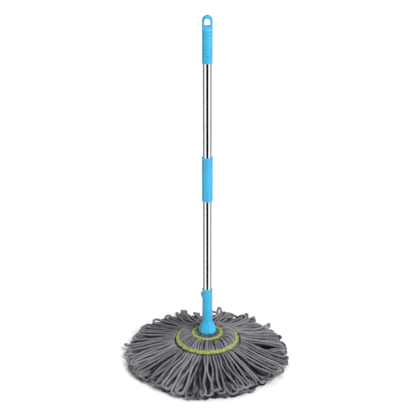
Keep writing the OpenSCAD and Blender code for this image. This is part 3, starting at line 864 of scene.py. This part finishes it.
def draw_cord(draw, index, layer, bundles):
    """What sets one cord apart: its place, its bundle, its loop, its bends, its own tone and the painted
    shade of its layer.
    """
    first, count, bundle_bend, bundle_short = next(b for b in bundles if b[0] <= index < b[0] + b[1])
    stray = STRAYS.get(index) if layer == 0 else None
    cord = SimpleNamespace(layer=layer)
    cord.angle = TAU * (index + 0.5 * layer + draw.uniform(-0.2, 0.2)) / CORDS
    # Its own random tone, less the painted shade of its layer
    cord.tone = draw.uniform(0.15, 0.8) - LAYER_PAINTED_SHADE[layer]
    cord.loop_w = stray[2] if stray else draw.uniform(16, 38) * MM
    cord.side = draw.choice((-1, 1))
    short = stray[0] if stray else bundle_short + 10 * MM * draw.uniform(0, 1) ** 2
    cord.turn_r = HEAD_R - CORD_R - cord.loop_w / 2 * 1.1 - short - layer * LAYER_SHORT
    cord.gather = (first + (count - 1) / 2 - index) * TAU / CORDS * 0.26
    cord.sway = bundle_bend + draw.uniform(-4, 4) * MM
    cord.bend = draw.uniform(-6, 6) * MM
    cord.phase = draw.uniform(0, TAU)
    cord.wave = draw.uniform(120, 200) * MM
    cord.lift = draw.uniform(-1.5, 1.5) * MM
    cord.wander = draw.uniform(-3.5, 3.5) * MM
    cord.loop_reach = draw.uniform(0.9, 1.3) * cord.loop_w / 2
    cord.tip = draw.uniform(-14, 0) * MM if draw.random() < 0.9 else draw.uniform(2, 8) * MM
    if stray:
        cord.tip = stray[1]
    cord.lay_start = draw.uniform(0, 1) * CORD_LAY
    return cord


def over_crown(cord):
    """A cord's steps, as (r, lateral, z), over the crown and out to its loop."""
    steps = [(r, 0, MOUTH_Z + rise) for r, rise in MOUTH_STEPS] if cord.layer == 0 else []
    r = LAYER_START[cord.layer]
    while r < cord.turn_r:
        fan = between(r, 100 * MM, HEAD_R)
        free = between(r, SKIRT_IN, SKIRT_IN + 60 * MM)
        bends = math.sin(cord.phase + TAU * (r - SKIRT_IN) / cord.wave)
        lateral = (cord.sway + cord.gather * r) * fan + cord.bend * free * bends
        lateral += cord.wander * between(r, 54 * MM, 72 * MM) * (1 - between(r, 82 * MM, 98 * MM))
        ripple = free * math.sin(2 * cord.phase + TAU * r / cord.wave)
        ripple += between(r, 55 * MM, 75 * MM) * (1 - free)
        ripple *= cord.lift * (1 - math.exp(-((r - OUTER_TAPE_R) / TAPE_W) ** 2))
        z = crown_z(r) + puff(r) + ripple - cord_limit(r, CORDS) - cord.layer * LAYER_DROP
        steps.append((r, lateral, max(z, FLOOR_Z)))
        r += STEP_OUT
    return steps


def round_loop(cord, lateral, z_top, z_low):
    """A cord's steps round the loop at the rim, which is widest at its end."""
    steps = []
    for k in range(1, LOOP_STEPS + 1):
        turn = math.pi * k / LOOP_STEPS
        swell = 1 + 0.25 * math.sin(turn)
        z = z_top + (z_low - z_top) * between(turn, 0, math.pi) + cord.tip * math.sin(turn)
        steps.append((
            cord.turn_r + cord.loop_reach * math.sin(turn),
            lateral + cord.side * cord.loop_w / 2 * (1 - math.cos(turn) * swell),
            max(z, FLOOR_Z)
        ))
    return steps


def back_to_foot(cord, lateral, z_low):
    """A cord's steps back to the foot, under the other cords."""
    steps = []
    r = cord.turn_r - STEP_OUT
    while r > CLAMP_R:
        sunk = between(r, 110 * MM, cord.turn_r + 20 * MM)
        aside = lateral * r / cord.turn_r + cord.side * cord.loop_w * smooth(r / cord.turn_r)
        steps.append((r, aside, FLOOR_Z + (z_low - FLOOR_Z) * sunk))
        r -= STEP_BACK
    return steps


def cord_thickness(r, on_return):
    """A cord's radius: crowded near the pole, full further out, and swollen where it is slack."""
    thick = cord_limit(max(r, 22 * MM), CORDS) * (1 + SLACK_SWELL * between(r, 150 * MM, HEAD_R))
    if on_return:
        crowded = cord_limit(r, 2 * LAYERS * CORDS)
        thick = crowded + (thick - crowded) * between(r, 120 * MM, 250 * MM)
    return thick


def place_cord(cord):
    """One cord's steps as (point, radius, length so far, tone with painted shade), and which of them turns
    back.
    """
    steps = over_crown(cord)
    lateral, z_top = steps[-1][1:]
    z_low = max(z_top - 0.6 * LAYER_DROP, FLOOR_Z)
    steps += round_loop(cord, lateral, z_top, z_low)
    steps += back_to_foot(cord, lateral, z_low)
    turned = max(range(len(steps)), key=lambda k: steps[k][0])
    out = Vector((math.cos(cord.angle), math.sin(cord.angle), 0))
    across = Vector((-out.y, out.x, 0))
    placed = []
    length = cord.lay_start
    for k, (r, lateral, z) in enumerate(steps):
        point = out * r + across * lateral + Vector((0, 0, z))
        if placed:
            length += (point - placed[-1][0]).length
        # Painted shade round the sleeve's mouth, full inside the inner tape and gone by the outer tape
        painted_shade = MOUTH_PAINTED_SHADE * (1 - between(r, INNER_TAPE_R - TAPE_W, OUTER_TAPE_R))
        placed.append((point, cord_thickness(r, k > turned), length, cord.tone - painted_shade))
    return placed, turned


def split_cord(placed, turned):
    """A cord's neck, up to the outer tape, its skirt, over the rim, and its run along the floor."""
    radii = [math.hypot(point.x, point.y) for point, *_ in placed]
    neck_end = sum(r <= OUTER_TAPE_R for r in radii[:turned])
    floor_start = next(k for k in range(turned, len(radii)) if radii[k] < FLOOR_CUT)
    return placed[:neck_end + 1], placed[neck_end:floor_start + 1], placed[floor_start:]


def sweep_cords(name, paths, spacing=2 * MM):
    """One piece of cords. Each path is a list of (point, radius, length so far, tone with painted shade)."""
    steps = [step for path in paths for step in path]
    edges = []
    first = 0
    for path in paths:
        edges += [(first + k, first + k + 1) for k in range(len(path) - 1)]
        first += len(path)
    mesh = bpy.data.meshes.new(name)
    mesh.from_pydata([step[0] for step in steps], edges, [])
    for label, column in (("cord_radius", 1), ("cord_length", 2), ("cord_tone_and_shade", 3)):
        values = [step[column] for step in steps]
        mesh.attributes.new(label, "FLOAT", "POINT").data.foreach_set("value", values)
    swept = modified(mesh, "NODES", {"node_group": CORD_TREE}, {
        "Ring Spacing": spacing, "Plies": 3.0, "Ply Depth": 0.14, "Lay Length": CORD_LAY,
        "Tuft Length": 1.43 * MM, "Tufts Around": 3.0, "Material": YARN
    })
    return new_piece(name, swept, YARN)


def make_yarn():
    """Lays every cord, and gathers them into pieces by sector; the pieces on the floor go with the pole."""
    draw = random.Random(11)
    necks = [[] for _ in range(SECTORS)]
    skirts = [[] for _ in range(SECTORS)]
    floors = [[] for _ in range(FLOOR_SECTORS)]
    for layer in range(LAYERS):
        bundles = make_bundles(draw)
        for index in range(CORDS):
            neck, skirt, floor = split_cord(*place_cord(draw_cord(draw, index, layer, bundles)))
            sector = index * SECTORS // CORDS
            if len(neck) > 2:
                necks[sector].append(neck)
            skirts[sector].append(skirt)
            floors[index * FLOOR_SECTORS // CORDS].append(floor)
    for k in range(SECTORS):
        neck = sweep_cords(f"yarn_neck_{k + 1:02d}", necks[k])
        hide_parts("yarn_neck")
        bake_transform(neck)
        skirt = sweep_cords(f"yarn_skirt_{k + 1:02d}", skirts[k])
        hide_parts("yarn_skirt")
        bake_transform(skirt)
    for k in range(FLOOR_SECTORS):
        floor = sweep_cords(f"yarn_floor_{k + 1}", floors[k], 4 * MM)
        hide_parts("yarn_skirt")
        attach(floor, "pole")


# ---- Tapes ----

TAPE_THICK = 1.1 * MM


def tape_height(r, angle):
    """Height of a tape's underside: it rides over the cords in small waves."""
    ripple = 0.35 * MM * math.sin(CORDS * angle) + 0.5 * MM * math.sin(11 * angle + r * 40)
    return crown_z(r) + puff(r) + 0.7 * MM + ripple


def tape_mesh(name, middle_r):
    """A closed ribbon laid round the pole on the yarn, with a thin rolled edge."""
    around, across = 432, 8
    loop = 2 * (across + 1)
    points, coords = [], []
    for step in range(around):
        angle = TAU * step / around
        edge = 0.8 * MM * math.sin(23 * angle) + 0.6 * MM * math.sin(CORDS / 2 * angle + 1)
        for k in [*range(across + 1), *range(across, -1, -1)]:
            share = k / across * 2 - 1
            r = middle_r + edge + share * TAPE_W / 2
            on_top = len(points) % loop <= across
            z = tape_height(r, angle) + (TAPE_THICK * (1 - 0.35 * share ** 4) if on_top else 0.0)
            points.append((r * math.cos(angle), r * math.sin(angle), z))
            coords.append((angle * middle_r, share * TAPE_W / 2))
    mesh = bpy.data.meshes.new(name)
    mesh.from_pydata(points, [], ring_faces(around, loop, closed=True))
    layer = mesh.uv_layers.new(name="UVMap")
    for face in mesh.polygons:
        last = face.index // loop == around - 1
        for corner in face.loop_indices:
            index = mesh.loops[corner].vertex_index
            u, v = coords[index]
            layer.data[corner].uv = (u + TAU * middle_r if last and index < loop else u, v)
    merge_doubles(mesh)
    return mesh


def stitch_rows(name, middle_r):
    """Two rows of stitches on a tape, one near each edge."""
    count = 240
    points, edges = [], []
    for offset in (-0.3, 0.3):
        first = len(points)
        r = middle_r + offset * TAPE_W
        for step in range(count):
            angle = TAU * step / count
            z = tape_height(r, angle) + TAPE_THICK + 0.05 * MM
            points.append((r * math.cos(angle), r * math.sin(angle), z))
        edges += [(first + k, first + (k + 1) % count) for k in range(count)]
    mesh = bpy.data.meshes.new(name)
    mesh.from_pydata(points, edges, [])
    sewn = modified(mesh, "NODES", {"node_group": STITCH_TREE}, {
        "Stitch Length": 4.5 * MM, "Thread Radius": 0.5 * MM, "Material": THREAD
    })
    return new_piece(name, sewn, THREAD, crease=80)


def make_tape(name, middle_r):
    """A tape and its stitches, which stand for the same node."""
    mesh = tape_mesh(f"{name}_ribbon", middle_r)
    ribbon = new_piece(f"{name}_ribbon", mesh, TAPE, crease=60)
    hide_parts(name)
    return ribbon, stitch_rows(f"{name}_stitches", middle_r)


def make_tapes():
    """The outer tape lifts with the runner; the inner one stays where it is laid."""
    for piece in make_tape("inner_tape", INNER_TAPE_R):
        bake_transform(piece)
    for piece in make_tape("outer_tape", OUTER_TAPE_R):
        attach(piece, "runner")


# ---- Studio ----

# Each card round the mop: from and to, in degrees from the front towards +X, its grey and its glow
FLAGS = {
    "black_flag": (-29, 29, "#000000", 1.0),
    "left_reflector": (-75, -29, "#FFFFFF", 1.3),
    "left_flag": (-180, -75, "#848484", 1.0),
    "right_reflector": (29, 75, "#FFFFFF", 1.3),
    "right_flag": (75, 180, "#B2B2B2", 1.0),
}
WORLD_LIGHT = 0.32


def make_camera():
    lens = bpy.data.cameras.new("camera")
    lens.lens = 96.9
    lens.sensor_width = 36
    camera = add_object("camera", lens)
    camera.location = (0.0022, -3.36, 2.006)
    camera.rotation_euler = (math.radians(90 - 23.26), 0, 0)
    bpy.context.scene.camera = camera


def make_floor():
    half = 14.0
    mesh = bpy.data.meshes.new("floor")
    corners = [(-half, -half, 0), (half, -half, 0), (half, half, 0), (-half, half, 0)]
    mesh.from_pydata(corners, [], [(0, 1, 2, 3)])
    material, tree, shader = new_material("studio_floor")
    connect(tree, shader, {"Base Color": linear("#FDFDFD"), "Roughness": 0.9})
    mesh.materials.append(material)
    floor = add_object("floor", mesh)
    floor.location.z = -0.2 * MM


def make_flag(name, first, last, colour, glow):
    """A curved card round the mop that only its mirrors see, and that glows evenly in its own grey."""
    radius, bottom, top, steps = 0.5, 0.001, 1.35, 24
    points = []
    for k in range(steps + 1):
        angle = math.radians(first + (last - first) * k / steps - 90)
        points += [(radius * math.cos(angle), radius * math.sin(angle), z) for z in (bottom, top)]
    mesh = bpy.data.meshes.new(name)
    mesh.from_pydata(points, [], [(2 * k, 2 * k + 2, 2 * k + 3, 2 * k + 1) for k in range(steps)])
    material, tree, shader = new_material(name)
    connect(tree, shader, {
        "Base Color": linear("#000000"), "Roughness": 1.0, "Specular IOR Level": 0.0,
        "Emission Color": linear(colour), "Emission Strength": glow
    })
    mesh.materials.append(material)
    flag = add_object(name, mesh)
    flag.visible_camera = False
    flag.visible_diffuse = False
    flag.visible_shadow = False
    flag.visible_transmission = False
    flag.visible_volume_scatter = False


def make_sun(name, direction, strength, softness):
    """A far, soft light; the direction is the way that it shines."""
    light = bpy.data.lights.new(name, "SUN")
    light.energy = strength
    light.angle = math.radians(softness)
    add_object(name, light).rotation_euler = Vector(direction).to_track_quat("-Z", "Y").to_euler()


def make_world():
    """A white surround that lights the mop less than it shows."""
    world = bpy.data.worlds.new("studio")
    world.use_nodes = True
    tree = world.node_tree
    background = next(n for n in tree.nodes if n.type == "BACKGROUND")
    seen = add_node(tree, "ShaderNodeLightPath").outputs["Is Camera Ray"]
    strength = add_node(tree, "ShaderNodeMath", {0: seen, 1: 1 - WORLD_LIGHT, 2: WORLD_LIGHT},
                        operation="MULTIPLY_ADD")
    connect(tree, background, {"Color": linear("#FFFFFF"), "Strength": strength.outputs[0]})
    bpy.context.scene.world = world


def make_studio():
    make_camera()
    make_floor()
    for name, settings in FLAGS.items():
        make_flag(name, *settings)
    make_sun("key", (-0.6, 0.7, -1.0), 2.7, 35)
    make_sun("top", (0.1, -0.1, -1.0), 0.5, 60)
    make_world()
    bpy.context.scene.view_settings.view_transform = "Standard"


make_studio()
dress_nodes()
make_handle()
make_grip()
make_bell()
make_spring()
make_yarn()
make_tapes()
